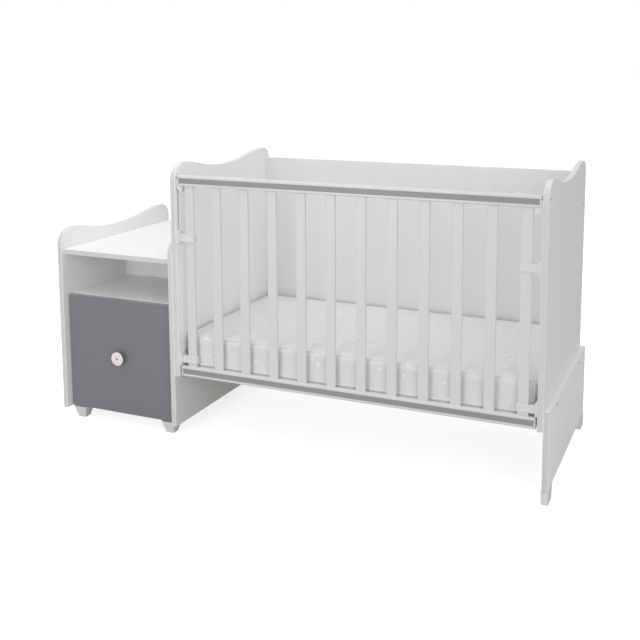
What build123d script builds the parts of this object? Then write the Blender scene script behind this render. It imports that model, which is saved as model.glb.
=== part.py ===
from build123d import *
import os

os.makedirs("parts", exist_ok=True)

# Driving dimensions in millimetres, X along the length, front towards -Y, Z up
board = 18.0
thin_board = 16.0
depth = 660.0
interior_length = 1205.0
cupboard_width = 475.0
foot_height = 41.0
end_bottom = 220.0
end_top = 943.0
cupboard_top = 691.0
leg_board_top = 284.0
leg_foot_proud = 2.0
edge_ease = 1.2
top_edge_ease = 1.0
drawer_edge_ease = 0.8
inner_edge_ease = 0.6

# Wave of the panel tops: distance behind the front edge, drop below the top
front_round = 58.0
rear_round = 45.0
wave_shape = ((190.0, 19.5), (322.0, 31.5), (450.0, 20.5))

# Faces that the pieces are set out from
front = -depth / 2
rear = depth / 2
total_length = cupboard_width + 3 * board + interior_length + leg_foot_proud
cupboard_left = -total_length / 2
cupboard_right = cupboard_left + cupboard_width
bed_left = cupboard_right + board
bed_right = bed_left + interior_length
leg_inner = bed_right + board
leg_outer = leg_inner + board
bay_left = cupboard_left + board
bay_right = cupboard_right - board
bay_middle = (bay_left + bay_right) / 2
interior_middle = (bed_left + bed_right) / 2

# Drop side
rail_height = 36.0
rail_depth = 20.0
rail_gap = 6.0
rail_front = front + 8.0
rail_middle = rail_front + rail_depth / 2
rail_round = 4.0
top_rail_middle = 886.0
bottom_rail_middle = 240.0
slat_count = 12
slat_pitch = 101.5
slat_width = 33.0
slat_depth = 10.0
slat_round = 3.0
mortise = 12.0
stripe_height = 17.5
stripe_depth = 1.5
stripe_margin = 4.0

# Guides of the drop side
guide_middles = {"upper": 695.0, "lower": 281.0}
guide_plate = (8.0, 26.0, 42.0)
guide_plate_corner = 2.5
guide_arm_reach = 64.0
guide_arm_height = 24.0
guide_arm_depth = 18.6
guide_arm_ease = 1.6
guide_clearance = 0.8
guide_panel_depth = 1.2
guide_panel_height = 13.0
guide_panel_margin = 5.0
guide_screw_offset = 16.5
groove_width = 8.0
groove_depth = 6.0
groove_bottom = 718.0
groove_top = 897.0
stop_screw_height = 893.0
slider_clearance = 1.0
slider_reach = 22.0
slider_drop = 19.0
slider_top = 890.5
slider_nose_drop = 16.0
slider_nose_side_play = 1.0
slider_nose_end_play = 0.5
slider_flatness = 2.0
slider_seat_gap = 0.3
slider_screw_inset = 15.0
slider_screw_recess = 8.0
slider_screw_head = 2.5

# Fasteners
back_bolt_heights = (250.0, 789.0)
leg_bolt_height = 262.0
leg_bolt_spread = 205.0
link_bolt_heights = (300.0, 580.0)
link_bolt_spread = 250.0
bolt_radius = 3.0
bolt_head_radius = 5.0
bolt_head_depth = 4.0
bolt_head_sunk = 0.5
bolt_socket_radius = 2.5
bolt_socket_depth = 2.4
bolt_clearance = 0.1
long_bolt = 50.0
short_bolt = 30.0
screw_radius = 1.5
screw_head_radius = 2.9
screw_length = 14.0
screw_tip_gap = 2.0
screw_end_gap = 1.0
screw_play = 0.1
stop_screw_radius = 2.2

# Back panel, mattress and its base
back_front = 300.0
back_bottom = 222.0
back_top = 904.0
beam_width = 35.0
beam_bottom = 221.0
beam_ledge_height = 23.0
beam_ledge_width = 10.0
beam_bolt_rise = 12.0
base_slat_thickness = 9.0
base_slat_width = 72.0
base_slat_count = 10
base_slat_margin = 20.0
base_slat_end_gap = 0.5
base_half_depth = 298.0
mattress_bottom = beam_bottom + beam_ledge_height + base_slat_thickness + 0.4
mattress_top = 370.0
mattress_depth = 600.0
mattress_end_gap = 3.0
mattress_front_gap = 0.5
mattress_corner = 24.0

# Cupboard
top_height = 619.0
top_setback = 12.0
partition_front = 30.0
top_joint = 34.0
top_joint_gap = 2.0
shelf_top = 454.0
inner_setback = 46.0
rear_setback = 2.0
rear_rail_height = 80.0

# Drawer
drawer_setback = 25.0
drawer_gap = 3.0
drawer_bottom_edge = 44.0
drawer_top_edge = 453.0
drawer_side_board = 12.0
drawer_box_length = 300.0
drawer_box_bottom = 90.0
drawer_box_top = 370.0
drawer_panel_height = 100.0
drawer_panel_thickness = 3.0
drawer_groove = 4.0
panel_play = 0.1
panel_end_play = 0.3
slide_thickness = 12.7
slide_middle = 172.5
slide_sheet = 1.2
slide_reach = 9.5
slide_setback = 4.0
cabinet_slide_half = 22.5
drawer_slide_half = 17.0
knob_radius = 24.0
knob_length = 24.0
knob_rim = 2.0
knob_neck_radius = 8.5
knob_neck_length = 7.0
knob_foot_radius = 10.0
knob_screw_radius = 2.0
knob_screw_head_radius = 3.2
knob_screw_head = 2.2
knob_screw_grip = 13.0
knob_recess_radius = 3.6
knob_recess = 8.0

first_slat = interior_middle - slat_pitch * (slat_count - 1) / 2
slat_places = [first_slat + slat_pitch * n for n in range(slat_count)]


def save(piece, label):
    piece.part.label = label
    export_step(piece.part, f"parts/{label}.step")


def eased_block(low, high, ease=edge_ease):
    """Board between two corners with every edge eased."""
    size = [b - a for a, b in zip(low, high)]
    with BuildPart() as block:
        with BuildSketch(Plane.XY.offset(low[2])):
            with Locations(((low[0] + high[0]) / 2, (low[1] + high[1]) / 2)):
                Rectangle(size[0], size[1])
        extrude(amount=size[2])
        if ease:
            chamfer(block.edges(), length=ease)
    return block


def toward(x, y, z, direction):
    """Plane whose normal points along X, for holes and bolts bored along X."""
    return Plane(origin=(x, y, z), x_dir=(0, 1, 0), z_dir=(direction, 0, 0))


# Bolt places: head face, direction of the shank, height and distance along Y
back_bolt_line = back_front + thin_board / 2
beam_line = base_half_depth - beam_width / 2
beam_bolt_height = beam_bottom + beam_bolt_rise
long_bolt_places = []
for head_face, direction in ((leg_inner, -1), (cupboard_right, 1)):
    for height in back_bolt_heights:
        long_bolt_places.append((head_face, back_bolt_line, height, direction))
    for side in (-1, 1):
        long_bolt_places.append((head_face, side * beam_line, beam_bolt_height, direction))
leg_bolt_places = [(leg_outer, side * leg_bolt_spread, leg_bolt_height, -1) for side in (-1, 1)]
link_bolt_places = []
for side in (-1, 1):
    for height in link_bolt_heights:
        link_bolt_places.append((bay_right, side * link_bolt_spread, height, 1))


# Side panels: one outline, cut to two heights
def side_panel(left_face, bottom, top):
    with BuildPart() as panel:
        with BuildSketch(Plane.YZ.offset(left_face)):
            with BuildLine():
                front_edge = Line((front, bottom), (front, top - front_round))
                nose = TangentArc(front_edge @ 1, (front + front_round, top), tangent=(0, 1))
                wave = Spline(
                    nose @ 1,
                    *[(front + behind, top - drop) for behind, drop in wave_shape],
                    (rear - rear_round, top),
                    tangents=[(1, 0), (1, 0)],
                )
                shoulder = TangentArc(wave @ 1, (rear, top - rear_round), tangent=(1, 0))
                rear_edge = Line(shoulder @ 1, (rear, bottom))
                Line(rear_edge @ 1, front_edge @ 0)
            make_face()
        extrude(amount=board)
        faces = panel.faces().filter_by(Axis.X)
        chamfer(faces.edges(), length=edge_ease)
    return panel


def bore(places, depth_of_bore, head_depth=bolt_head_depth):
    """Bolt holes with a recess for the head, in the builder that is open."""
    for x, y, z, direction in places:
        with Locations(toward(x, y, z, -direction)):
            CounterBoreHole(bolt_radius, bolt_head_radius + bolt_clearance, head_depth, depth_of_bore)


def end_panel(outer_face, inner_face, direction):
    """Direction points from the outer face towards the mattress."""
    with side_panel(min(outer_face, inner_face), end_bottom, end_top) as panel:
        bore([p for p in long_bolt_places if p[0] == outer_face], board)
        # Groove that the nose of the sliding side runs in
        groove_middle = (groove_bottom + groove_top) / 2
        with BuildSketch(toward(inner_face, rail_middle, groove_middle, -direction)) as groove:
            SlotOverall(groove_top - groove_bottom, groove_width, rotation=90)
        extrude(groove.sketch, amount=groove_depth, mode=Mode.SUBTRACT)
        # Pilot holes of the guide screws and the hole of the stop screw
        for middle in guide_middles.values():
            for offset in (-guide_screw_offset, guide_screw_offset):
                with Locations(toward(inner_face, rail_middle, middle + offset, direction)):
                    Hole(screw_radius, depth=screw_length - guide_plate[0])
        with Locations(toward(outer_face, rail_middle, stop_screw_height, -direction)):
            CounterSinkHole(stop_screw_radius, 2 * stop_screw_radius, depth=board)
    return panel


left_end = end_panel(cupboard_right, bed_left, 1)
with left_end:
    for x, y, z, direction in link_bolt_places:
        with Locations(toward(cupboard_right, y, z, -1)):
            Hole(bolt_radius, depth=short_bolt - board)
save(left_end, "left_end_panel")

right_end = end_panel(leg_inner, bed_right, -1)
with right_end:
    for x, y, z, direction in leg_bolt_places:
        with Locations(toward(leg_inner, y, z, 1)):
            Hole(bolt_radius, depth=short_bolt - board)
save(right_end, "right_end_panel")

# Back panel, bolted through its ends
with BuildPart() as back:
    with BuildSketch(Plane.XZ.offset(-back_front)):
        with Locations((interior_middle, (back_bottom + back_top) / 2)):
            Rectangle(interior_length, back_top - back_bottom)
    extrude(amount=-thin_board)
    long_edges = back.edges().filter_by(Axis.X)
    chamfer(long_edges, length=edge_ease)
    for x, y, z, direction in long_bolt_places:
        if y > back_front:
            inner_face = bed_right if direction < 0 else bed_left
            with Locations(toward(inner_face, y, z, -direction)):
                Hole(bolt_radius, depth=long_bolt - board)
save(back, "back_panel")


# Rails of the drop side: mortised for the slats, with a shallow pocket for the stripe
def rail(middle, mortise_side):
    with BuildPart() as bar:
        with BuildSketch(Plane.XZ.offset(-rail_front)):
            with Locations((interior_middle, middle)):
                Rectangle(interior_length - 2 * rail_gap, rail_height)
        extrude(amount=-rail_depth)
        fillet(bar.edges().filter_by(Axis.X), radius=rail_round)
        with BuildSketch(Plane.XZ.offset(-rail_front)):
            with Locations((interior_middle, middle)):
                Rectangle(interior_length - 2 * rail_gap - 2 * stripe_margin, stripe_height)
        extrude(amount=-stripe_depth, mode=Mode.SUBTRACT)
        with BuildSketch(Plane.XY.offset(middle + mortise_side * rail_height / 2)):
            with Locations(*[(x, rail_middle) for x in slat_places]):
                Rectangle(slat_width, slat_depth)
        extrude(amount=-mortise_side * mortise, mode=Mode.SUBTRACT)
    return bar


def stripe(middle):
    with BuildPart() as strip:
        with BuildSketch(Plane.XZ.offset(-rail_front)):
            with Locations((interior_middle, middle)):
                Rectangle(interior_length - 2 * rail_gap - 2 * stripe_margin, stripe_height)
        extrude(amount=-stripe_depth)
    return strip


top_rail = rail(top_rail_middle, -1)
with top_rail:
    for x in (bed_left + slider_screw_inset, bed_right - slider_screw_inset):
        with Locations(Plane((x, rail_middle, top_rail_middle - rail_height / 2), z_dir=(0, 0, -1))):
            Hole(screw_radius, depth=screw_length)
save(top_rail, "top_rail")
save(rail(bottom_rail_middle, 1), "bottom_rail")
save(stripe(top_rail_middle), "top_rail_stripe")
save(stripe(bottom_rail_middle), "bottom_rail_stripe")

# Flat slats, glued into the mortises
slat_low = bottom_rail_middle + rail_height / 2 - mortise
slat_high = top_rail_middle - rail_height / 2 + mortise
for number, x in enumerate(slat_places, start=1):
    with BuildPart() as slat:
        with BuildSketch(Plane.XY.offset(slat_low)):
            with Locations((x, rail_middle)):
                RectangleRounded(slat_width, slat_depth, slat_round)
        extrude(amount=slat_high - slat_low)
    save(slat, f"slat_{number:02d}")


# Sliders: a quarter-round block under each end of the top rail, with a tongue up the
# rail's end and a nose that runs in the groove of the end panel
def slider(inner_face, direction):
    near = inner_face + direction * slider_clearance
    under_rail = top_rail_middle - rail_height / 2
    rail_end = inner_face + direction * rail_gap
    far = inner_face + direction * slider_reach
    with BuildPart() as block:
        with BuildSketch(Plane.XZ.offset(-rail_front)):
            with BuildLine():
                tongue = Line((near, under_rail), (near, slider_top))
                tip = Line(tongue @ 1, (rail_end - direction * slider_seat_gap, slider_top))
                inside = Line(tip @ 1, (rail_end - direction * slider_seat_gap, under_rail))
                seat = Line(inside @ 1, (far, under_rail))
                toe = Line(seat @ 1, (far, under_rail - slider_drop))
                belly = slider_reach - slider_clearance + slider_flatness
                RadiusArc(toe @ 1, tongue @ 0, direction * belly)
            make_face()
        extrude(amount=-rail_depth)
        nose_low = under_rail - slider_nose_drop
        nose_width = groove_width - slider_nose_side_play
        with BuildSketch(toward(near, rail_middle, (nose_low + slider_top) / 2, -direction)):
            SlotOverall(slider_top - nose_low, nose_width, rotation=90)
        extrude(amount=groove_depth - slider_nose_end_play)
        screw_x = inner_face + direction * slider_screw_inset
        with Locations(Plane((screw_x, rail_middle, under_rail - slider_drop), z_dir=(0, 0, -1))):
            recess_radius = screw_head_radius + bolt_clearance
            CounterBoreHole(screw_radius, recess_radius, slider_screw_recess, slider_drop)
    return block


save(slider(bed_left, 1), "slider_left")
save(slider(bed_right, -1), "slider_right")


# Guides: a plate on the end panel and an arm that closes round the outermost slat
def guide(inner_face, direction, middle):
    plate_thickness, plate_width, plate_height = guide_plate
    slat_near = (interior_length - slat_pitch * (slat_count - 1) - slat_width) / 2
    slot_near = slat_near - guide_clearance
    slot_length = slat_width + 2 * guide_clearance
    with BuildPart() as collar:
        with BuildSketch(toward(inner_face, rail_middle, middle, direction)):
            Rectangle(guide_arm_depth, guide_arm_height)
        extrude(amount=guide_arm_reach)
        tip = collar.faces().filter_by(Axis.X).sort_by(Axis.X)[-1 if direction > 0 else 0]
        chamfer(collar.edges().filter_by(Axis.X) + tip.edges(), length=guide_arm_ease)
        with BuildSketch(toward(inner_face, rail_middle, middle, direction)):
            plate = Rectangle(plate_width, plate_height)
            chamfer(plate.vertices(), length=guide_plate_corner)
        extrude(amount=plate_thickness)
        plate_face = inner_face + direction * plate_thickness
        panel_start = plate_thickness + guide_panel_margin
        panel_length = guide_arm_reach - guide_panel_margin - panel_start
        with BuildSketch(Plane.XZ.offset(-(rail_middle - guide_arm_depth / 2))):
            with Locations((inner_face + direction * (panel_start + panel_length / 2), middle)):
                Rectangle(panel_length, guide_panel_height)
        extrude(amount=-guide_panel_depth, mode=Mode.SUBTRACT)
        with BuildSketch(Plane.XY.offset(middle - guide_arm_height / 2)):
            with Locations((inner_face + direction * (slot_near + slot_length / 2), rail_middle)):
                Rectangle(slot_length, slat_depth + 2 * guide_clearance)
        extrude(amount=guide_arm_height, mode=Mode.SUBTRACT)
        for offset in (-guide_screw_offset, guide_screw_offset):
            with Locations(toward(plate_face, rail_middle, middle + offset, direction)):
                CounterSinkHole(screw_radius, screw_head_radius, depth=plate_thickness)
    return collar


for level, middle in guide_middles.items():
    save(guide(bed_left, 1, middle), f"{level}_guide_left")
    save(guide(bed_right, -1, middle), f"{level}_guide_right")


# Fasteners: like ones share a node as separate solids
def countersunk_screw(plane, radius, head_radius, length):
    """Revolved about the plane's normal, head face on the plane, shank against the normal."""
    with BuildPart() as screw:
        with BuildSketch(plane):
            Circle(head_radius)
        extrude(amount=-(head_radius - radius), taper=45)
        with BuildSketch(plane):
            Circle(radius)
        extrude(amount=-length)
    return screw.part


def connector_bolt(x, y, z, direction, length):
    """Cheese head with a hexagon socket, its face sunk below the board."""
    head_face = toward(x + direction * bolt_head_sunk, y, z, direction)
    with BuildPart() as bolt:
        with BuildSketch(head_face):
            Circle(bolt_head_radius)
        extrude(amount=bolt_head_depth - bolt_head_sunk)
        with BuildSketch(toward(x + direction * bolt_head_depth, y, z, direction)):
            Circle(bolt_radius)
        extrude(amount=length - bolt_head_depth)
        with BuildSketch(head_face):
            RegularPolygon(bolt_socket_radius, 6)
        extrude(amount=bolt_socket_depth, mode=Mode.SUBTRACT)
    return bolt.part


def save_group(solids, label):
    group = Compound(children=solids)
    group.label = label
    export_step(group, f"parts/{label}.step")


guide_screws = []
for inner_face, direction in ((bed_left, 1), (bed_right, -1)):
    for middle in guide_middles.values():
        for offset in (-guide_screw_offset, guide_screw_offset):
            face = toward(inner_face + direction * guide_plate[0], rail_middle, middle + offset, direction)
            guide_screws.append(countersunk_screw(face, screw_radius, screw_head_radius, screw_length))
save_group(guide_screws, "guide_screws")

slider_screws = []
for x in (bed_left + slider_screw_inset, bed_right - slider_screw_inset):
    head_height = top_rail_middle - rail_height / 2 - slider_drop + slider_screw_recess
    under = Plane((x, rail_middle, head_height), z_dir=(0, 0, -1))
    with BuildPart() as screw:
        with BuildSketch(under):
            Circle(screw_radius)
        extrude(amount=-(slider_drop - slider_screw_recess + screw_length - screw_tip_gap))
        with BuildSketch(under):
            Circle(screw_head_radius)
        extrude(amount=slider_screw_head)
    slider_screws.append(screw.part)
save_group(slider_screws, "slider_screws")

stop_screws = []
for outer_face, direction in ((cupboard_right, 1), (leg_inner, -1)):
    face = toward(outer_face, rail_middle, stop_screw_height, -direction)
    length = board - screw_end_gap
    stop_screws.append(countersunk_screw(face, stop_screw_radius, 2 * stop_screw_radius, length))
save_group(stop_screws, "stop_screws")

save_group([connector_bolt(*place, long_bolt) for place in long_bolt_places], "frame_bolts")
joint_bolt_places = leg_bolt_places + link_bolt_places
save_group([connector_bolt(*place, short_bolt) for place in joint_bolt_places], "joint_bolts")

# Base of the mattress: two rebated beams between the end panels, slats laid on their ledges
ledge_top = beam_bottom + beam_ledge_height
beam_top = ledge_top + base_slat_thickness
for label, side in (("front", -1), ("rear", 1)):
    outer_side = side * base_half_depth
    inner_side = outer_side - side * beam_width
    ledge_side = inner_side + side * beam_ledge_width
    with BuildPart() as beam:
        with BuildSketch(Plane.YZ.offset(bed_left)):
            with BuildLine():
                Polyline(
                    (outer_side, beam_bottom),
                    (outer_side, beam_top),
                    (ledge_side, beam_top),
                    (ledge_side, ledge_top),
                    (inner_side, ledge_top),
                    (inner_side, beam_bottom),
                    close=True,
                )
            make_face()
        extrude(amount=interior_length)
        long_edges = beam.edges().filter_by(Axis.X).group_by(Axis.Z)
        chamfer(long_edges[0] + long_edges[-1], length=edge_ease)
        for inner_face, direction in ((bed_left, 1), (bed_right, -1)):
            with Locations(toward(inner_face, side * beam_line, beam_bolt_height, -direction)):
                Hole(bolt_radius, depth=long_bolt - board)
    save(beam, f"base_beam_{label}")

base_slats = []
base_slat_length = 2 * (base_half_depth - beam_width + beam_ledge_width - base_slat_end_gap)
base_pitch = (interior_length - 2 * base_slat_margin - base_slat_width) / (base_slat_count - 1)
for n in range(base_slat_count):
    middle = bed_left + base_slat_margin + base_slat_width / 2 + n * base_pitch
    with BuildPart() as base_slat:
        with BuildSketch(Plane.XY.offset(ledge_top)):
            with Locations((middle, 0)):
                Rectangle(base_slat_width, base_slat_length)
        extrude(amount=base_slat_thickness)
    base_slats.append(base_slat.part)
save_group(base_slats, "base_slats")

# Mattress: drawn-in sides between two piped seams, crowned top
mattress_length = interior_length - 2 * mattress_end_gap
mattress_front = rail_middle + guide_arm_depth / 2 + mattress_front_gap
mattress_middle = mattress_front + mattress_depth / 2
mattress_levels = (
    (mattress_bottom, 3.0),
    (mattress_bottom + 5.0, 0.8),
    (mattress_bottom + 9.0, 0.0),
    (mattress_bottom + 30.0, 3.0),
    ((mattress_bottom + mattress_top) / 2 - 3.0, 3.8),
    (mattress_top - 36.0, 3.0),
    (mattress_top - 15.0, 0.0),
    (mattress_top - 11.0, 1.5),
    (mattress_top - 6.0, 12.0),
    (mattress_top - 3.0, 45.0),
    (mattress_top, 150.0),
)
with BuildPart() as mattress:
    for height, inset in mattress_levels:
        with BuildSketch(Plane.XY.offset(height)):
            with Locations((interior_middle, mattress_middle)):
                RectangleRounded(mattress_length - 2 * inset, mattress_depth - 2 * inset, mattress_corner)
    loft(ruled=True)
save(mattress, "mattress")

# Leg board outside the right end panel and its two feet
leg_board = eased_block((leg_inner, front, foot_height), (leg_outer, rear, leg_board_top))
with leg_board:
    bore(leg_bolt_places, board)
save(leg_board, "leg_board")

leg_foot_length = 66.0
leg_foot_width = board + 2 * leg_foot_proud
leg_foot_round = 3.0
leg_foot_side_taper = 1.0
leg_foot_end_taper = 14.0
leg_foot_lean = 2.0
for label, side in (("front", -1), ("rear", 1)):
    with BuildPart() as leg_foot:
        leg_middle = (leg_inner + leg_outer) / 2
        with BuildSketch(Plane.XY.offset(foot_height)):
            with Locations((leg_middle, side * (rear - leg_foot_length / 2))):
                RectangleRounded(leg_foot_width, leg_foot_length, leg_foot_round)
        with BuildSketch():
            with Locations((leg_middle, side * (rear - leg_foot_length / 2 + leg_foot_lean))):
                RectangleRounded(
                    leg_foot_width - leg_foot_side_taper,
                    leg_foot_length - leg_foot_end_taper,
                    leg_foot_round,
                )
        loft(ruled=True)
    save(leg_foot, f"leg_foot_{label}")

# Cupboard carcass
cupboard_left_side = side_panel(cupboard_left, foot_height, cupboard_top)
save(cupboard_left_side, "cupboard_left_panel")

cupboard_right_side = side_panel(bay_right, foot_height, cupboard_top)
with cupboard_right_side:
    bore(link_bolt_places, board)
save(cupboard_right_side, "cupboard_right_panel")

top_bottom = top_height - board
save(
    eased_block(
        (bay_left, front + top_setback, top_bottom),
        (bay_right, top_joint, top_height),
        ease=top_edge_ease,
    ),
    "changing_top",
)
save(
    eased_block(
        (bay_left, top_joint + top_joint_gap, top_bottom),
        (bay_right, rear - rear_setback, top_height),
        ease=top_edge_ease,
    ),
    "rear_top",
)
save(
    eased_block(
        (bay_left, front + inner_setback, shelf_top - thin_board),
        (bay_right, partition_front, shelf_top),
        ease=inner_edge_ease,
    ),
    "shelf",
)
save(
    eased_block(
        (bay_left, front + inner_setback, foot_height),
        (bay_right, rear - rear_setback, foot_height + thin_board),
        ease=inner_edge_ease,
    ),
    "bottom_board",
)
save(
    eased_block(
        (bay_left, partition_front, foot_height + thin_board),
        (bay_right, partition_front + thin_board, top_bottom),
        ease=0,
    ),
    "partition",
)
save(
    eased_block(
        (bay_left, rear - rear_setback - thin_board, top_bottom - rear_rail_height),
        (bay_right, rear - rear_setback, top_bottom),
        ease=inner_edge_ease,
    ),
    "rear_rail",
)

# Cupboard feet: tapered, under the bottom board
cupboard_foot_inset = 50.0
foot_top_width = 55.0
foot_bottom_width = 31.0
foot_corner = 0.16
foot_number = 0
for y in (front + cupboard_foot_inset, rear - cupboard_foot_inset):
    for x in (cupboard_left + cupboard_foot_inset, cupboard_right - cupboard_foot_inset):
        foot_number += 1
        with BuildPart() as cupboard_foot:
            for height, width in ((0.0, foot_bottom_width), (foot_height, foot_top_width)):
                with BuildSketch(Plane.XY.offset(height)):
                    with Locations((x, y)):
                        RectangleRounded(width, width, width * foot_corner)
            loft(ruled=True)
        save(cupboard_foot, f"cupboard_foot_{foot_number}")

# Drawer: front, grooved box and hardboard bottom
drawer_front_face = front + drawer_setback
drawer_back_of_front = drawer_front_face + board
box_left = bay_left + slide_thickness
box_right = bay_right - slide_thickness
box_rear = drawer_back_of_front + drawer_box_length
groove_height = drawer_panel_thickness + 2 * panel_play
knob_height = (drawer_bottom_edge + drawer_top_edge) / 2


def panel_groove(middle, size):
    """Groove for the drawer's hardboard bottom, cut in the builder that is open."""
    with BuildSketch(Plane.XY.offset(drawer_panel_height)) as groove:
        with Locations(middle):
            Rectangle(*size)
    extrude(groove.sketch, amount=groove_height, mode=Mode.SUBTRACT)


drawer_front = eased_block(
    (bay_left + drawer_gap, drawer_front_face, drawer_bottom_edge),
    (bay_right - drawer_gap, drawer_back_of_front, drawer_top_edge),
)
with drawer_front:
    panel_groove(
        (bay_middle, drawer_back_of_front - drawer_groove / 2),
        (box_right - box_left - 2 * drawer_side_board + 2 * drawer_groove, drawer_groove),
    )
    with Locations(Plane((bay_middle, drawer_front_face, knob_height), z_dir=(0, -1, 0))):
        Hole(knob_screw_radius, depth=knob_screw_grip + screw_end_gap)
save(drawer_front, "drawer_front")

for label, outer, direction in (("left", box_left, 1), ("right", box_right, -1)):
    inner = outer + direction * drawer_side_board
    drawer_side = eased_block(
        (min(outer, inner), drawer_back_of_front, drawer_box_bottom),
        (max(outer, inner), box_rear, drawer_box_top),
        ease=drawer_edge_ease,
    )
    with drawer_side:
        panel_groove(
            (inner - direction * drawer_groove / 2, (drawer_back_of_front + box_rear) / 2),
            (drawer_groove, drawer_box_length),
        )
    save(drawer_side, f"drawer_side_{label}")

drawer_back = eased_block(
    (box_left + drawer_side_board, box_rear - drawer_side_board, drawer_box_bottom),
    (box_right - drawer_side_board, box_rear, drawer_box_top),
    ease=drawer_edge_ease,
)
with drawer_back:
    panel_groove(
        (bay_middle, box_rear - drawer_side_board + drawer_groove / 2),
        (box_right - box_left, drawer_groove),
    )
save(drawer_back, "drawer_back")

panel_reach = drawer_groove - panel_end_play
save(
    eased_block(
        (
            box_left + drawer_side_board - panel_reach,
            drawer_back_of_front - panel_reach,
            drawer_panel_height + panel_play,
        ),
        (
            box_right - drawer_side_board + panel_reach,
            box_rear - drawer_side_board + panel_reach,
            drawer_panel_height + panel_play + drawer_panel_thickness,
        ),
        ease=0,
    ),
    "drawer_bottom",
)


# Slides: folded steel channels, the drawer member nested in the cabinet member
def channel(face, direction, half_height, reach):
    """Web on the face, two flanges reaching along the direction."""
    with BuildPart() as member:
        with BuildSketch(Plane.XZ.offset(-drawer_back_of_front - slide_setback)):
            with BuildLine():
                Polyline(
                    (face + direction * reach, slide_middle + half_height),
                    (face, slide_middle + half_height),
                    (face, slide_middle - half_height),
                    (face + direction * reach, slide_middle - half_height),
                    (face + direction * reach, slide_middle - half_height + slide_sheet),
                    (face + direction * slide_sheet, slide_middle - half_height + slide_sheet),
                    (face + direction * slide_sheet, slide_middle + half_height - slide_sheet),
                    (face + direction * reach, slide_middle + half_height - slide_sheet),
                    close=True,
                )
            make_face()
        extrude(amount=-(drawer_box_length - 2 * slide_setback))
    return member


for label, panel_face, direction in (("left", bay_left, 1), ("right", bay_right, -1)):
    box_face = panel_face + direction * slide_thickness
    save(channel(panel_face, direction, cabinet_slide_half, slide_reach), f"cabinet_slide_{label}")
    save(channel(box_face, -direction, drawer_slide_half, slide_reach), f"drawer_slide_{label}")

# Turned knob with a recess for its screw, on the middle of the drawer front
knob_plane = Plane(
    origin=(bay_middle, drawer_front_face, knob_height),
    x_dir=(1, 0, 0),
    z_dir=(0, 0, 1),
)
knob_bore = knob_screw_radius + screw_play
knob_screw_seat = knob_recess - knob_length
with BuildPart() as knob:
    with BuildSketch(knob_plane):
        with BuildLine():
            bore_line = Line((knob_bore, 0), (knob_bore, knob_screw_seat))
            recess_floor = Line(bore_line @ 1, (knob_recess_radius, knob_screw_seat))
            recess_wall = Line(recess_floor @ 1, (knob_recess_radius, -knob_length))
            face_line = Line(recess_wall @ 1, (knob_radius - knob_rim, -knob_length))
            rim = ThreePointArc(
                face_line @ 1,
                (knob_radius, -knob_length + knob_rim),
                (knob_radius - knob_rim, -knob_length + 2 * knob_rim),
            )
            underside = Line(rim @ 1, (knob_neck_radius, -knob_neck_length))
            neck = Line(underside @ 1, (knob_foot_radius, 0))
            Line(neck @ 1, bore_line @ 0)
        make_face()
    revolve(axis=Axis(knob_plane.origin, (0, 1, 0)))
save(knob, "knob")

with BuildPart() as knob_screw:
    head_seat = drawer_front_face + knob_screw_seat
    with BuildSketch(Plane.XZ.offset(-head_seat)):
        with Locations((bay_middle, knob_height)):
            Circle(knob_screw_head_radius)
    extrude(amount=knob_screw_head)
    dome = knob_screw.faces().sort_by(Axis.Y)[0]
    chamfer(dome.edges(), length=knob_screw_head / 2)
    with BuildSketch(Plane.XZ.offset(-head_seat)):
        with Locations((bay_middle, knob_height)):
            Circle(knob_screw_radius - screw_play)
    extrude(amount=knob_screw_seat - knob_screw_grip)
save(knob_screw, "knob_screw")
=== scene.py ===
import math

import bmesh
import bpy
from mathutils import Matrix, Vector, noise
from mathutils.bvhtree import BVHTree


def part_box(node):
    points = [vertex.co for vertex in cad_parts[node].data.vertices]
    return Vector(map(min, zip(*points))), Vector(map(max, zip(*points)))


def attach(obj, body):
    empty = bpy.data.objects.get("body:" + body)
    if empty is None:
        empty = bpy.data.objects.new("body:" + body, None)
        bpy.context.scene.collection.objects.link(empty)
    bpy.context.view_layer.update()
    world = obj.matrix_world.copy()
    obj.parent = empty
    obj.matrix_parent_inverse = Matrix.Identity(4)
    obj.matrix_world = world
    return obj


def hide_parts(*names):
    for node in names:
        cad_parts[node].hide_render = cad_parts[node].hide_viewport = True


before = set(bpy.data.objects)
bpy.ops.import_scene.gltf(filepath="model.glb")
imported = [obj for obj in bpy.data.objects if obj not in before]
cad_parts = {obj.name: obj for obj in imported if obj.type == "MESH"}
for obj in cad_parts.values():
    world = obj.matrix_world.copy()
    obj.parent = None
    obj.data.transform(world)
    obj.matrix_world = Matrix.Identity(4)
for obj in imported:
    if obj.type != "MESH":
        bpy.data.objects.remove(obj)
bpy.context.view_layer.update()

# Camera
# Where the photographer stood: in front and to the right of the cot, a little above its rails,
# fitted to the corners of the boards and to the lines of the rails.
camera_place = Vector((1.3083, -2.8364, 1.2712))
camera_right = Vector((0.92451, 0.38116, 0.00102))
camera_down = Vector((0.0511, -0.12128, -0.9913))
camera_forward = Vector((-0.37772, 0.91652, -0.1316))
image_width = 640
image_focal = 911.8
image_centre = (358.1, 183.3)
sensor_width = 36.0

camera_data = bpy.data.cameras.new("camera")
camera_data.sensor_width = sensor_width
camera_data.lens = image_focal * sensor_width / image_width
camera_data.shift_x = 0.5 - image_centre[0] / image_width
camera_data.shift_y = image_centre[1] / image_width - 0.5
camera_data.clip_end = 200.0
camera = bpy.data.objects.new("camera", camera_data)
turn = Matrix((camera_right, -camera_down, -camera_forward)).transposed()
camera.matrix_world = Matrix.Translation(camera_place) @ turn.to_4x4()
bpy.context.scene.collection.objects.link(camera)
bpy.context.scene.camera = camera


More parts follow.
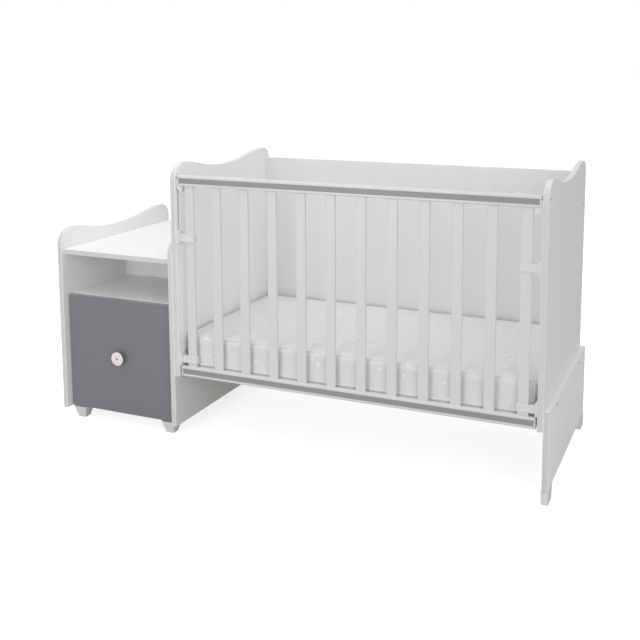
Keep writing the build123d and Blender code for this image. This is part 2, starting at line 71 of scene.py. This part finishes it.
# Floor and light
# A white studio: a wide matt floor that shows pure white, three square soft lights overhead,
# in front and at the right-hand corner, and a pale surround that lights from all sides.
class Wire:
    """One output among a finish's nodes; sums on it add Math nodes."""

    def __init__(self, finish, socket):
        self.finish = finish
        self.socket = socket

    def maths(self, operation, *values):
        return self.finish.maths(operation, self, *values)

    def __add__(self, other):
        return self.finish.maths("ADD", self, other)

    __radd__ = __add__

    def __sub__(self, other):
        return self.finish.maths("SUBTRACT", self, other)

    def __rsub__(self, other):
        return self.finish.maths("SUBTRACT", other, self)

    def __mul__(self, other):
        return self.finish.maths("MULTIPLY", self, other)

    __rmul__ = __mul__

    def __gt__(self, other):
        return self.finish.maths("GREATER_THAN", self, other)

    def __lt__(self, other):
        return self.finish.maths("LESS_THAN", self, other)

    def __abs__(self):
        return self.finish.maths("ABSOLUTE", self)


class Finish:
    """A procedural material: its shader and one way to add any node."""

    def __init__(self, name, **shader_values):
        self.material = bpy.data.materials.new(name)
        self.material.use_nodes = True
        self.nodes = self.material.node_tree.nodes
        self.links = self.material.node_tree.links
        self.shader = self.nodes["Principled BSDF"]
        for socket, value in shader_values.items():
            self.shader.inputs[socket.replace("_", " ")].default_value = value
        self.place = self.node("TexCoord", output="Object")

    def node(self, kind, settings=None, inputs=None, output=0):
        made = self.nodes.new("ShaderNode" + kind)
        for name, value in (settings or {}).items():
            setattr(made, name, value)
        for name, value in (inputs or {}).items():
            self.feed(made.inputs[name], value)
        return Wire(self, made.outputs[output])

    def feed(self, socket, value):
        if isinstance(value, Wire):
            self.links.new(value.socket, socket)
        else:
            socket.default_value = value

    def maths(self, operation, *values):
        return self.node("Math", {"operation": operation}, dict(enumerate(values)))

    def axis(self, name, vector=None):
        return self.node("SeparateXYZ", inputs={0: vector or self.place}, output=name)

    def stretched(self, stretch):
        return self.node("VectorMath", {"operation": "MULTIPLY"}, {0: self.place, 1: stretch})

    def grain(self, scale, detail=2.0, stretch=(1, 1, 1), distortion=0.0):
        """Noise from 0 to 1 on the piece's own coordinates, in cells per metre."""
        sockets = {"Vector": self.stretched(stretch), "Scale": scale, "Detail": detail}
        return self.node("TexNoise", inputs=sockets | {"Distortion": distortion})

    def between(self, value, low, high):
        """Value, from 0 to 1, spread between two limits."""
        return value * (high - low) + low

    def tint(self, factor, first, second):
        """Colour between two, by a factor."""
        sockets = {0: factor, 6: first, 7: second}
        return self.node("Mix", {"data_type": "RGBA"}, sockets, output=2)

    def relief(self, height, depth, strength=1.0, over=None):
        """Bump of that depth in metres."""
        sockets = {"Height": height, "Distance": depth, "Strength": strength}
        return self.node("Bump", inputs=sockets | ({"Normal": over} if over else {}))

    def paint(self, **wires):
        for socket, wire in wires.items():
            self.feed(self.shader.inputs[socket.replace("_", " ")], wire)

    def onto(self, *names):
        """Gives this finish to CAD nodes."""
        for name in names:
            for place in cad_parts[name].material_slots:
                place.material = self.material


def mesh_piece(name, build, body, finish):
    """A piece from a bmesh, riding on a body and taking its finish from a slot."""
    mesh = bpy.data.meshes.new(name)
    build.to_mesh(mesh)
    build.free()
    piece = bpy.data.objects.new(name, mesh)
    bpy.context.scene.collection.objects.link(piece)
    mesh.materials.append(finish.material)
    for face in mesh.polygons:
        face.use_smooth = True
    if body:
        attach(piece, body)
    return piece


floor_reach = 30.0
floor_finish = Finish("studio_floor", Roughness=0.9, Specular_IOR_Level=0.2, Emission_Strength=1.0)
floor_tone = floor_finish.grain(0.4)
floor_glow = floor_finish.tint(floor_tone, (0.75, 0.75, 0.75, 1), (0.77, 0.77, 0.77, 1))
seen_floor = floor_finish.node("LightPath", output="Is Camera Ray")
floor_finish.paint(
    Base_Color=floor_finish.tint(floor_tone, (0.6, 0.6, 0.6, 1), (0.62, 0.62, 0.62, 1)),
    Emission_Color=floor_finish.tint(seen_floor, (0, 0, 0, 1), floor_glow),
    Normal=floor_finish.relief(floor_finish.grain(300.0), 0.0002),
)
floor_mesh = bmesh.new()
bmesh.ops.create_grid(floor_mesh, x_segments=12, y_segments=12, size=floor_reach)
floor = mesh_piece("studio_floor", floor_mesh, None, floor_finish)


def studio_light(name, place, aim, size, power):
    """A square soft light aimed at a point."""
    data = bpy.data.lights.new(name, "AREA")
    data.shape = "SQUARE"
    data.size = size
    data.energy = power
    light = bpy.data.objects.new(name, data)
    light.location = place
    light.rotation_euler = (Vector(aim) - Vector(place)).to_track_quat("-Z", "Y").to_euler()
    bpy.context.scene.collection.objects.link(light)


studio_light("overhead", (-0.45, -0.35, 2.5), (-0.2, 0.0, 0.5), 2.1, 20.0)
studio_light("front", (-0.9, -3.5, 0.8), (-0.4, 0.0, 0.4), 0.9, 19.0)
studio_light("corner", (4.2, -4.8, 2.2), (0.0, 0.0, 0.4), 3.5, 80.0)

surround_strength = 0.6
surround = bpy.data.worlds.new("surround")
surround.use_nodes = True
bpy.context.scene.world = surround
surround_shade = surround.node_tree.nodes["Background"]
surround_shade.inputs["Color"].default_value = (1, 1, 1, 1)
seen = surround.node_tree.nodes.new("ShaderNodeLightPath")
lit = surround.node_tree.nodes.new("ShaderNodeMapRange")
lit.inputs["To Min"].default_value = surround_strength
lit.inputs["To Max"].default_value = 1.0
surround.node_tree.links.new(seen.outputs["Is Camera Ray"], lit.inputs["Value"])
surround.node_tree.links.new(lit.outputs["Result"], surround_shade.inputs["Strength"])
bpy.context.scene.view_settings.view_transform = "Standard"

# White boards
# End panels and the cupboard's boards: chipboard faced with white melamine, a fine pearl emboss
# on the faces and a smoother plastic band round the edges; the bands are painted darker as shade,
# and paler where they face up as a painted highlight.
white_face = (0.87, 0.87, 0.872, 1)
white_drift = (0.85, 0.85, 0.853, 1)
# Painted shade: the edge bands are darker than the faces; painted highlight: lighter where they
# face up.
band_painted_shade = (0.665, 0.665, 0.668, 1)
band_painted_highlight = (0.8, 0.8, 0.802, 1)
# Painted light: a paler copy of the white melamine for the left end panel, the partition, the
# changing top, the rear top, the shelf and the leg board.
painted_light_face = (0.94, 0.94, 0.942, 1)
painted_light_drift = (0.92, 0.92, 0.923, 1)
edge_limit = 0.6
highlight_start = 0.6
highlight_gain = 2.5
face_roughness = (0.38, 0.52)
band_smoothness = 0.12


def board_finish(name, thickness_axis, face, drift, band, top_band):
    """Melamine face with an edge band wherever the surface looks away from the thickness.

    Where the band faces up, its colour turns to the top band's, a painted highlight.
    """
    finish = Finish(name, Specular_IOR_Level=0.45)
    outward = finish.node("NewGeometry", output="Normal")
    on_band = abs(finish.axis(thickness_axis, outward)) < edge_limit
    # Painted highlight: up-facing edge bands are tinted towards the top band colour.
    facing_up_highlight = (finish.axis("Z", outward) - highlight_start) * highlight_gain
    band_with_painted_light = finish.tint(facing_up_highlight, band, top_band)
    cloudy = finish.grain(2.5, detail=3.0)
    face_colour = finish.tint(cloudy, face, drift)
    wiped = finish.grain(9.0, detail=4.0, stretch=(1, 1, 0.35))
    pearl = finish.grain(1400.0, detail=1.0)
    finish.paint(
        Base_Color=finish.tint(on_band, face_colour, band_with_painted_light),
        Roughness=finish.between(wiped, *face_roughness) - on_band * band_smoothness,
        Normal=finish.relief(pearl, 0.00006, 0.35),
    )
    return finish


def white_board_finish(name, thickness_axis, face=white_face, drift=white_drift):
    """White melamine with the white bands, painted darker as shade and lighter on top as a
    highlight.
    """
    return board_finish(name, thickness_axis, face, drift, band_painted_shade, band_painted_highlight)


white_board_finish("white_board_x", "X").onto(
    "right_end_panel", "cupboard_left_panel", "cupboard_right_panel"
)
white_board_finish("white_board_y", "Y").onto("rear_rail")
white_board_finish("white_board_z", "Z").onto("bottom_board")
white_board_finish("painted_light_board_x", "X", painted_light_face, painted_light_drift).onto("left_end_panel")
white_board_finish("painted_light_board_y", "Y", painted_light_face, painted_light_drift).onto("partition")
white_board_finish("painted_light_board_z", "Z", painted_light_face, painted_light_drift).onto(
    "changing_top", "rear_top", "shelf"
)

# Back panel
# One board bolted between the end panels along the wall side; its melamine is painted greyer, as
# shade.
painted_shade_grey = (0.79, 0.79, 0.792, 1)
painted_shade_grey_drift = (0.77, 0.77, 0.773, 1)
white_board_finish("back_board", "Y", painted_shade_grey, painted_shade_grey_drift).onto("back_panel")

# Leg board
# A low board bolted outside the right end panel, which carries it on two feet; its melamine is
# painted paler as light, its front band painted darker as shade and its top band painted lighter
# as a highlight.
leg_band_painted_shade = (0.64, 0.64, 0.642, 1)
leg_band_painted_highlight = (0.97, 0.97, 0.97, 1)
board_finish("leg_board_painted_light", "X", painted_light_face, painted_light_drift, leg_band_painted_shade, leg_band_painted_highlight).onto(
    "leg_board"
)

# Mattress base
# Two white-faced beams bolted between the end panels, rebated along their inner edges, and ten
# unpainted plywood slats laid on the ledges; the slats' grain follows their length.
white_board_finish("base_beam_board", "Y").onto("base_beam_front", "base_beam_rear")
wood_waves = 9.0
line_share = 0.45
pore_share = 0.35
cloud_share = 0.2
wood_contrast = 1.3


def wood_finish(name, pale, dark):
    """Plain timber with the grain along Y."""
    finish = Finish(name, Specular_IOR_Level=0.35)
    stretch = (1, 0.06, 1)
    bands = finish.grain(26.0, detail=4.0, stretch=stretch, distortion=1.2)
    pores = finish.grain(420.0, detail=2.0, stretch=stretch)
    cloud = finish.grain(5.0, detail=2.0)
    lines = (bands * wood_waves).maths("SINE") * 0.5 + 0.5
    shade = lines * line_share + pores * pore_share + cloud * cloud_share
    finish.paint(
        Base_Color=finish.tint(shade.maths("POWER", wood_contrast), pale, dark),
        Roughness=finish.between(pores, 0.5, 0.68),
        Normal=finish.relief(pores + lines * 0.5, 0.00015, 0.5),
    )
    return finish


wood_finish("plywood_slat", (0.74, 0.61, 0.43, 1), (0.62, 0.47, 0.3, 1)).onto("base_slats")


# Drop side
# Two rails with twelve flat slats glued into them, hardwood sprayed with white lacquer that
# still shows the grain as a faint ripple along each piece.
lacquer_white = (0.71, 0.71, 0.713, 1)
lacquer_drift = (0.69, 0.69, 0.693, 1)
orange_peel_share = 0.4


def lacquer_finish(name, along):
    """White lacquer over a grain along an axis."""
    finish = Finish(name, Specular_IOR_Level=0.5, Coat_Weight=0.15, Coat_Roughness=0.25)
    stretch = {"X": (0.05, 1, 1), "Z": (1, 1, 0.05)}[along]
    ripple = finish.grain(170.0, detail=3.0, stretch=stretch)
    drift = finish.grain(4.0, detail=2.0)
    orange_peel = finish.grain(650.0, detail=1.0)
    finish.paint(
        Base_Color=finish.tint(drift, lacquer_white, lacquer_drift),
        Roughness=finish.between(ripple, 0.3, 0.42),
        Normal=finish.relief(ripple + orange_peel * orange_peel_share, 0.00008, 0.4),
    )
    return finish


slat_names = [f"slat_{number:02d}" for number in range(1, 13)]
lacquer_finish("lacquer_rail", "X").onto("top_rail", "bottom_rail")
lacquer_finish("lacquer_slat", "Z").onto(*slat_names)

# Grey stripes
# A grey plastic strip pressed into a shallow pocket along the face of each rail, drawn with
# fine lines along its length.
stripe_grey = (0.28, 0.28, 0.29, 1)
stripe_pale = (0.328, 0.328, 0.338, 1)
stripe_cloud_share = 0.6
stripe_line_share = 0.4
stripe_finish = Finish("grey_stripe", Specular_IOR_Level=0.45)
drawn_lines = stripe_finish.grain(900.0, detail=1.0, stretch=(0.01, 1, 1))
stripe_cloud = stripe_finish.grain(7.0, detail=3.0)
stripe_shade = stripe_cloud * stripe_cloud_share + drawn_lines * stripe_line_share
stripe_finish.paint(
    Base_Color=stripe_finish.tint(stripe_shade, stripe_grey, stripe_pale),
    Roughness=stripe_finish.between(drawn_lines, 0.34, 0.5),
    Normal=stripe_finish.relief(drawn_lines, 0.00005, 0.5),
)
stripe_finish.onto("top_rail_stripe", "bottom_rail_stripe")

# Guides and sliders
# Moulded white nylon: collars that hold the outermost slats to the end panels, and the
# quarter-round sliders screwed under the top rail; matt, a little waxy and lightly scuffed.
scuff_start = 0.55
scuff_gain = 1.6
scuff_smoother = 0.06
scuff_rougher = 0.08


def moulded_finish(name, colour, rubbed, roughness):
    """Moulded plastic with a spark-eroded skin."""
    finish = Finish(name, Specular_IOR_Level=0.45)
    skin = finish.grain(1100.0, detail=2.0)
    scuffs = finish.grain(90.0, detail=4.0, stretch=(1, 1, 0.2))
    finish.paint(
        Base_Color=finish.tint((scuffs - scuff_start) * scuff_gain, colour, rubbed),
        Roughness=finish.between(scuffs, roughness - scuff_smoother, roughness + scuff_rougher),
        Normal=finish.relief(skin, 0.00006, 0.5),
    )
    return finish


nylon_finish = moulded_finish("white_nylon", (0.74, 0.74, 0.737, 1), (0.69, 0.69, 0.684, 1), 0.44)
nylon_finish.onto(
    "upper_guide_left",
    "upper_guide_right",
    "lower_guide_left",
    "lower_guide_right",
    "slider_left",
    "slider_right",
)

# Feet
# Tapered plastic feet under the cupboard and the leg board, plugged into the boards' lower
# edges, with light scuffs that grey them a little.
foot_finish = moulded_finish("foot_plastic", (0.78, 0.78, 0.78, 1), (0.73, 0.73, 0.73, 1), 0.4)
foot_finish.onto(
    "leg_foot_front",
    "leg_foot_rear",
    "cupboard_foot_1",
    "cupboard_foot_2",
    "cupboard_foot_3",
    "cupboard_foot_4",
)

# Fasteners
# Countersunk screws in the guides with white enamelled heads, zinc-plated ones in the sliders,
# and blackened steel for the stop screws and the bolts sunk in the boards; the knob's screw is
# painted black too, as shade in the hollow at the knob's centre.
turning_roughness = 0.15


def plated_finish(name, bright, dull, roughness, metallic=1.0):
    """Plated or enamelled steel with turning marks and a patchy film."""
    finish = Finish(name, Metallic=metallic)
    film = finish.grain(350.0, detail=3.0)
    marks = finish.grain(1500.0, detail=1.0, stretch=(1, 0.2, 1))
    finish.paint(
        Base_Color=finish.tint(film, bright, dull),
        Roughness=finish.between(marks, roughness, roughness + turning_roughness),
        Normal=finish.relief(marks, 0.00003, 0.5),
    )
    return finish


plated_finish("screw_steel", (0.5, 0.5, 0.52, 1), (0.34, 0.33, 0.33, 1), 0.28).onto(
    "slider_screws"
)
plated_finish("screw_enamel", (0.82, 0.82, 0.82, 1), (0.74, 0.74, 0.74, 1), 0.3, metallic=0.0).onto(
    "guide_screws"
)
# The knob's screw takes this black as painted shade for the hollow in the knob's centre.
plated_finish("bolt_steel", (0.06, 0.06, 0.065, 1), (0.03, 0.03, 0.034, 1), 0.5).onto(
    "frame_bolts", "joint_bolts", "stop_screws", "knob_screw"
)

# Drawer
# A grey melamine front with a box of thin white boards behind it and a hardboard bottom held
# in grooves.
drawer_grey = (0.211, 0.2, 0.223, 1)
drawer_grey_drift = (0.221, 0.21, 0.233, 1)
drawer_grey_band = (0.38, 0.37, 0.39, 1)
board_finish(
    "grey_board", "Y", drawer_grey, drawer_grey_drift, drawer_grey_band, drawer_grey_band
).onto("drawer_front")
white_board_finish("drawer_side_board", "X").onto("drawer_side_left", "drawer_side_right")
white_board_finish("drawer_back_board", "Y").onto("drawer_back")
hardboard_finish = Finish("hardboard", Specular_IOR_Level=0.35)
fibres = hardboard_finish.grain(240.0, detail=4.0, stretch=(1, 0.7, 1), distortion=0.6)
hardboard_finish.paint(
    Base_Color=hardboard_finish.tint(fibres, (0.68, 0.675, 0.66, 1), (0.62, 0.61, 0.59, 1)),
    Roughness=hardboard_finish.between(fibres, 0.5, 0.62),
    Normal=hardboard_finish.relief(fibres, 0.00008, 0.5),
)
hardboard_finish.onto("drawer_bottom")

# Drawer slides
# Folded steel channels with a white powder coat, rubbed to a dull line where one runs inside
# the other.
rub_start = 0.6
rub_gain = 5.0
slide_finish = Finish("slide_steel", Specular_IOR_Level=0.5, Coat_Weight=0.1)
peel = slide_finish.grain(800.0, detail=2.0)
rubs = slide_finish.grain(260.0, detail=3.0, stretch=(1, 0.02, 1))
rubbed = ((rubs - rub_start) * rub_gain).maths("MAXIMUM", 0.0).maths("MINIMUM", 1.0)
slide_finish.paint(
    Base_Color=slide_finish.tint(rubbed, (0.7, 0.7, 0.7, 1), (0.5, 0.5, 0.51, 1)),
    Roughness=slide_finish.between(rubs, 0.3, 0.5),
    Normal=slide_finish.relief(peel, 0.0001, 0.4),
)
slide_finish.onto(
    "cabinet_slide_left", "cabinet_slide_right", "drawer_slide_left", "drawer_slide_right"
)

# Knob
# A turned knob with a gloss white lacquer on its face, where faint turning rings show; the rim's
# underside and the neck are painted dark grey as shade.
knob_low, knob_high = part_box("knob")
knob_middle = (knob_low + knob_high) / 2
knob_finish = Finish("knob_white", Specular_IOR_Level=0.5, Coat_Weight=0.5, Coat_Roughness=0.12)
from_middle = knob_finish.node(
    "VectorMath", {"operation": "SUBTRACT"}, {0: knob_finish.place, 1: knob_middle}
)
from_axis = knob_finish.node(
    "VectorMath", {"operation": "MULTIPLY"}, {0: from_middle, 1: (1, 0, 1)}
)
ring_radius = knob_finish.node(
    "VectorMath", {"operation": "LENGTH"}, {0: from_axis}, output="Value"
)
rings_per_metre = 9000.0
ring_wobble = knob_finish.grain(300.0) * 1.5
rings = (ring_radius * rings_per_metre + ring_wobble).maths("SINE") * 0.5 + 0.5
knob_face_depth = 0.0026
# Painted shade: dark grey on everything behind the knob's face, the rim's underside and the neck.
knob_underside_painted_shade = (0.13, 0.12, 0.125, 1)
knob_face = knob_finish.tint(
    knob_finish.grain(60.0, detail=3.0), (0.87, 0.84, 0.835, 1), (0.82, 0.79, 0.78, 1)
)
painted_shade_behind_face = knob_finish.axis("Y") > knob_low.y + knob_face_depth
knob_finish.paint(
    Base_Color=knob_finish.tint(painted_shade_behind_face, knob_face, knob_underside_painted_shade),
    Roughness=knob_finish.between(rings, 0.25, 0.34),
    Normal=knob_finish.relief(rings, 0.00002, 0.4),
)
knob_finish.onto("knob")

# Mattress
# A foam core in a white cotton cover: crowned top and underside, side bands drawn in between
# two piped seams, puckered a little where the cover is gathered into the piping, and a pale
# print of small stars and dots.
mattress_low, mattress_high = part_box("mattress")
mattress_middle = (mattress_low + mattress_high) / 2
mattress_half = (mattress_high - mattress_low) / 2
cover_voxel = 0.009
cover_pressure = 4.0
cover_steps = 20
cover_swell = 0.006
cover_start_inset = 0.006
piping_inset = 0.0024
lower_seam = mattress_low.z + 0.009
upper_seam = mattress_high.z - 0.015
side_reach = 0.03
pucker_depth = 0.0011
pucker_mean = 0.6
pucker_reach = 0.016
pucker_scale = 34.0
fine_pucker_ratio = 2.3
fine_pucker_share = 0.5
lower_edge_reach = 0.02
lower_edge_squareness = 3.0
end_limit = 0.8

cover_finish = Finish(
    "mattress_cover", Roughness=0.85, Sheen_Weight=0.3, Sheen_Roughness=0.5, Specular_IOR_Level=0.2
)
cover_x = cover_finish.axis("X")
cover_y = cover_finish.axis("Y")
cover_z = cover_finish.axis("Z")
cover_outward = cover_finish.node("TexCoord", output="Normal")
on_end = abs(cover_finish.axis("X", cover_outward)) > end_limit
across = cover_finish.node("Mix", {"data_type": "FLOAT"}, {0: on_end, 2: cover_x, 3: cover_y})
up = cover_finish.node("Mix", {"data_type": "FLOAT"}, {0: on_end, 2: cover_y + cover_z, 3: cover_z})
print_scale = 17.0
star_points = 5.0
star_notch = 0.35
star_radius = 0.0052
dot_radius = 0.0026
dot_spread = 0.0012
dot_share = 0.45
star_turn_range = 6.0
print_strength = 0.8
threads_per_metre = 5200.0
print_place = cover_finish.node("CombineXYZ", inputs={0: across, 1: up})
cell = cover_finish.node(
    "TexVoronoi",
    {"voronoi_dimensions": "2D"},
    {"Vector": print_place, "Scale": print_scale, "Randomness": 0.75},
    output="Position",
)
cell_shade = cover_finish.node(
    "TexWhiteNoise", {"noise_dimensions": "2D"}, {"Vector": cell}, output="Value"
)
from_cell = cover_finish.node("VectorMath", {"operation": "SUBTRACT"}, {0: print_place, 1: cell})
arm_x = cover_finish.axis("X", from_cell)
arm_y = cover_finish.axis("Y", from_cell)
arm_angle = cover_finish.maths("ARCTAN2", arm_y, arm_x)
arm_length = cover_finish.node(
    "VectorMath", {"operation": "LENGTH"}, {0: from_cell}, output="Value"
)
star_turn = cell_shade * star_turn_range
star_wave = (arm_angle * star_points + star_turn).maths("COSINE")
star_edge = (star_wave * star_notch + 1.0) * star_radius
dot_edge = dot_radius + cell_shade * dot_spread
as_star = cell_shade > dot_share
mark_edge = cover_finish.node(
    "Mix", {"data_type": "FLOAT"}, {0: as_star, 2: dot_edge, 3: star_edge}
)
mark = arm_length < mark_edge
warp = (cover_x * threads_per_metre).maths("SINE")
weft = ((cover_y + cover_z) * threads_per_metre).maths("SINE")
creases = cover_finish.grain(16.0, detail=4.0)
cover_colour = cover_finish.tint(creases, (0.775, 0.775, 0.775, 1), (0.735, 0.735, 0.735, 1))
print_colour = cover_finish.tint(as_star, (0.66, 0.65, 0.6, 1), (0.93, 0.932, 0.936, 1))
cover_finish.paint(
    Base_Color=cover_finish.tint(mark * print_strength, cover_colour, print_colour),
    Roughness=cover_finish.between(creases, 0.8, 0.92),
    Normal=cover_finish.relief(
        warp * weft, 0.00012, 0.35, over=cover_finish.relief(creases, 0.0022, 0.35)
    ),
)

cover = bpy.data.objects.new("mattress_cover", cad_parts["mattress"].data.copy())
bpy.context.scene.collection.objects.link(cover)
shrink = Vector(((half - cover_start_inset) / half for half in mattress_half))
cover.data.transform(
    Matrix.Translation(mattress_middle)
    @ Matrix.Diagonal((*shrink, 1.0))
    @ Matrix.Translation(-mattress_middle)
)


def applied(piece, **modifier_settings):
    """Adds one modifier, sets it, and leaves the mesh with its result."""
    kind = modifier_settings.pop("kind")
    modifier = piece.modifiers.new(kind.lower(), kind)
    for name, value in modifier_settings.items():
        setattr(modifier, name, value)
    graph = bpy.context.evaluated_depsgraph_get()
    result = bpy.data.meshes.new_from_object(piece.evaluated_get(graph))
    piece.modifiers.remove(modifier)
    piece.data = result


applied(cover, kind="REMESH", mode="VOXEL", voxel_size=cover_voxel)
resting = [vertex.co.copy() for vertex in cover.data.vertices]
cloth = cover.modifiers.new("cloth", "CLOTH")
cloth.settings.use_pressure = True
cloth.settings.uniform_pressure_force = cover_pressure
cloth.settings.effector_weights.gravity = 0.0
cloth.settings.quality = 5
cloth.point_cache.frame_start = 1
cloth.point_cache.frame_end = cover_steps
for step in range(1, cover_steps + 1):
    bpy.context.scene.frame_set(step)
graph = bpy.context.evaluated_depsgraph_get()
swollen = bpy.data.meshes.new_from_object(cover.evaluated_get(graph))
cover.modifiers.remove(cloth)
cover.data = swollen
for vertex, start in zip(cover.data.vertices, resting):
    move = vertex.co - start
    if move.length > cover_swell:
        vertex.co = start + move.normalized() * cover_swell
bpy.context.scene.frame_set(1)
applied(cover, kind="SMOOTH", iterations=4, factor=0.5)
applied(cover, kind="SUBSURF", levels=1, render_levels=1)

# The swollen cover is brought back to the core's size, drawn in between the seams and puckered
low = Vector((min(vertex.co[k] for vertex in cover.data.vertices) for k in range(3)))
high = Vector((max(vertex.co[k] for vertex in cover.data.vertices) for k in range(3)))
inset = Vector((piping_inset, piping_inset, 0.0))
for vertex in cover.data.vertices:
    share = Vector(((vertex.co[k] - low[k]) / (high[k] - low[k]) for k in range(3)))
    for k in range(3):
        vertex.co[k] = mattress_low[k] + inset[k] + share[k] * (2 * mattress_half[k] - 2 * inset[k])
for vertex in cover.data.vertices:
    near_seam = min(abs(vertex.co.z - lower_seam), abs(vertex.co.z - upper_seam))
    gather = math.exp(-near_seam / pucker_reach)
    ripple = noise.noise(vertex.co * pucker_scale) + fine_pucker_share * noise.noise(
        vertex.co * fine_pucker_ratio * pucker_scale
    )
    outward = Vector((vertex.co.x - mattress_middle.x, vertex.co.y - mattress_middle.y, 0.0))
    edge_x = mattress_half.x - abs(outward.x)
    edge_y = mattress_half.y - abs(outward.y)
    if min(edge_x, edge_y) < side_reach:
        push = Vector((math.copysign(1.0, outward.x), 0, 0)) if edge_x < edge_y else Vector(
            (0, math.copysign(1.0, outward.y), 0)
        )
        vertex.co -= push * pucker_depth * gather * (pucker_mean + ripple)
        rise = (vertex.co.z - mattress_low.z) / lower_edge_reach
        if rise < 1.0:
            gap = min(max(min(edge_x, edge_y) / lower_edge_reach, 0.0), 1.0)
            squared = gap - gap**lower_edge_squareness
            vertex.co += push * lower_edge_reach * squared * (1.0 - rise**2)
    rise = (vertex.co.z - mattress_low.z) / lower_edge_reach
    if 0.0 < rise < 1.0:
        vertex.co.z = mattress_low.z + lower_edge_reach * rise**lower_edge_squareness
cover.data.materials.clear()
cover.data.materials.append(cover_finish.material)
for face in cover.data.polygons:
    face.use_smooth = True
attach(cover, "root")
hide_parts("mattress")

# Piping of the mattress
# A cord sewn into the two seams that run all the way round the cover, in the cover's cotton.
cover_surface = BVHTree.FromPolygons(
    [vertex.co.copy() for vertex in cover.data.vertices],
    [tuple(face.vertices) for face in cover.data.polygons],
)
piping_radius = 0.0027
piping_steps = 420
piping_sides = 10
piping_start_share = 0.8


def piping(name, seam_height):
    """A closed tube that lies on the cover at one height."""
    line = []
    for step in range(piping_steps):
        angle = 2 * math.pi * step / piping_steps
        aim = Vector((math.cos(angle) * mattress_half.x, math.sin(angle) * mattress_half.y, 0.0))
        square = max(abs(aim.x) / mattress_half.x, abs(aim.y) / mattress_half.y)
        centre = Vector((mattress_middle.x, mattress_middle.y, seam_height))
        target = centre + aim / square
        inner = centre + aim / square * piping_start_share
        hit = cover_surface.ray_cast(target + (target - inner), inner - target)[0]
        line.append(hit if hit else target)
    tube = bmesh.new()
    rings_made = []
    for index, point in enumerate(line):
        along = (line[(index + 1) % piping_steps] - line[index - 1]).normalized()
        side = along.cross(Vector((0, 0, 1))).normalized()
        ring = []
        for corner in range(piping_sides):
            around = 2 * math.pi * corner / piping_sides
            spread = side * math.cos(around) + Vector((0, 0, 1)) * math.sin(around)
            ring.append(tube.verts.new(point + spread * piping_radius))
        rings_made.append(ring)
    for index, ring in enumerate(rings_made):
        following = rings_made[(index + 1) % piping_steps]
        for corner in range(piping_sides):
            beside = (corner + 1) % piping_sides
            tube.faces.new((ring[corner], ring[beside], following[beside], following[corner]))
    bmesh.ops.recalc_face_normals(tube, faces=tube.faces)
    return mesh_piece(name, tube, "root", cover_finish)


piping("mattress_piping_upper", upper_seam)
piping("mattress_piping_lower", lower_seam)
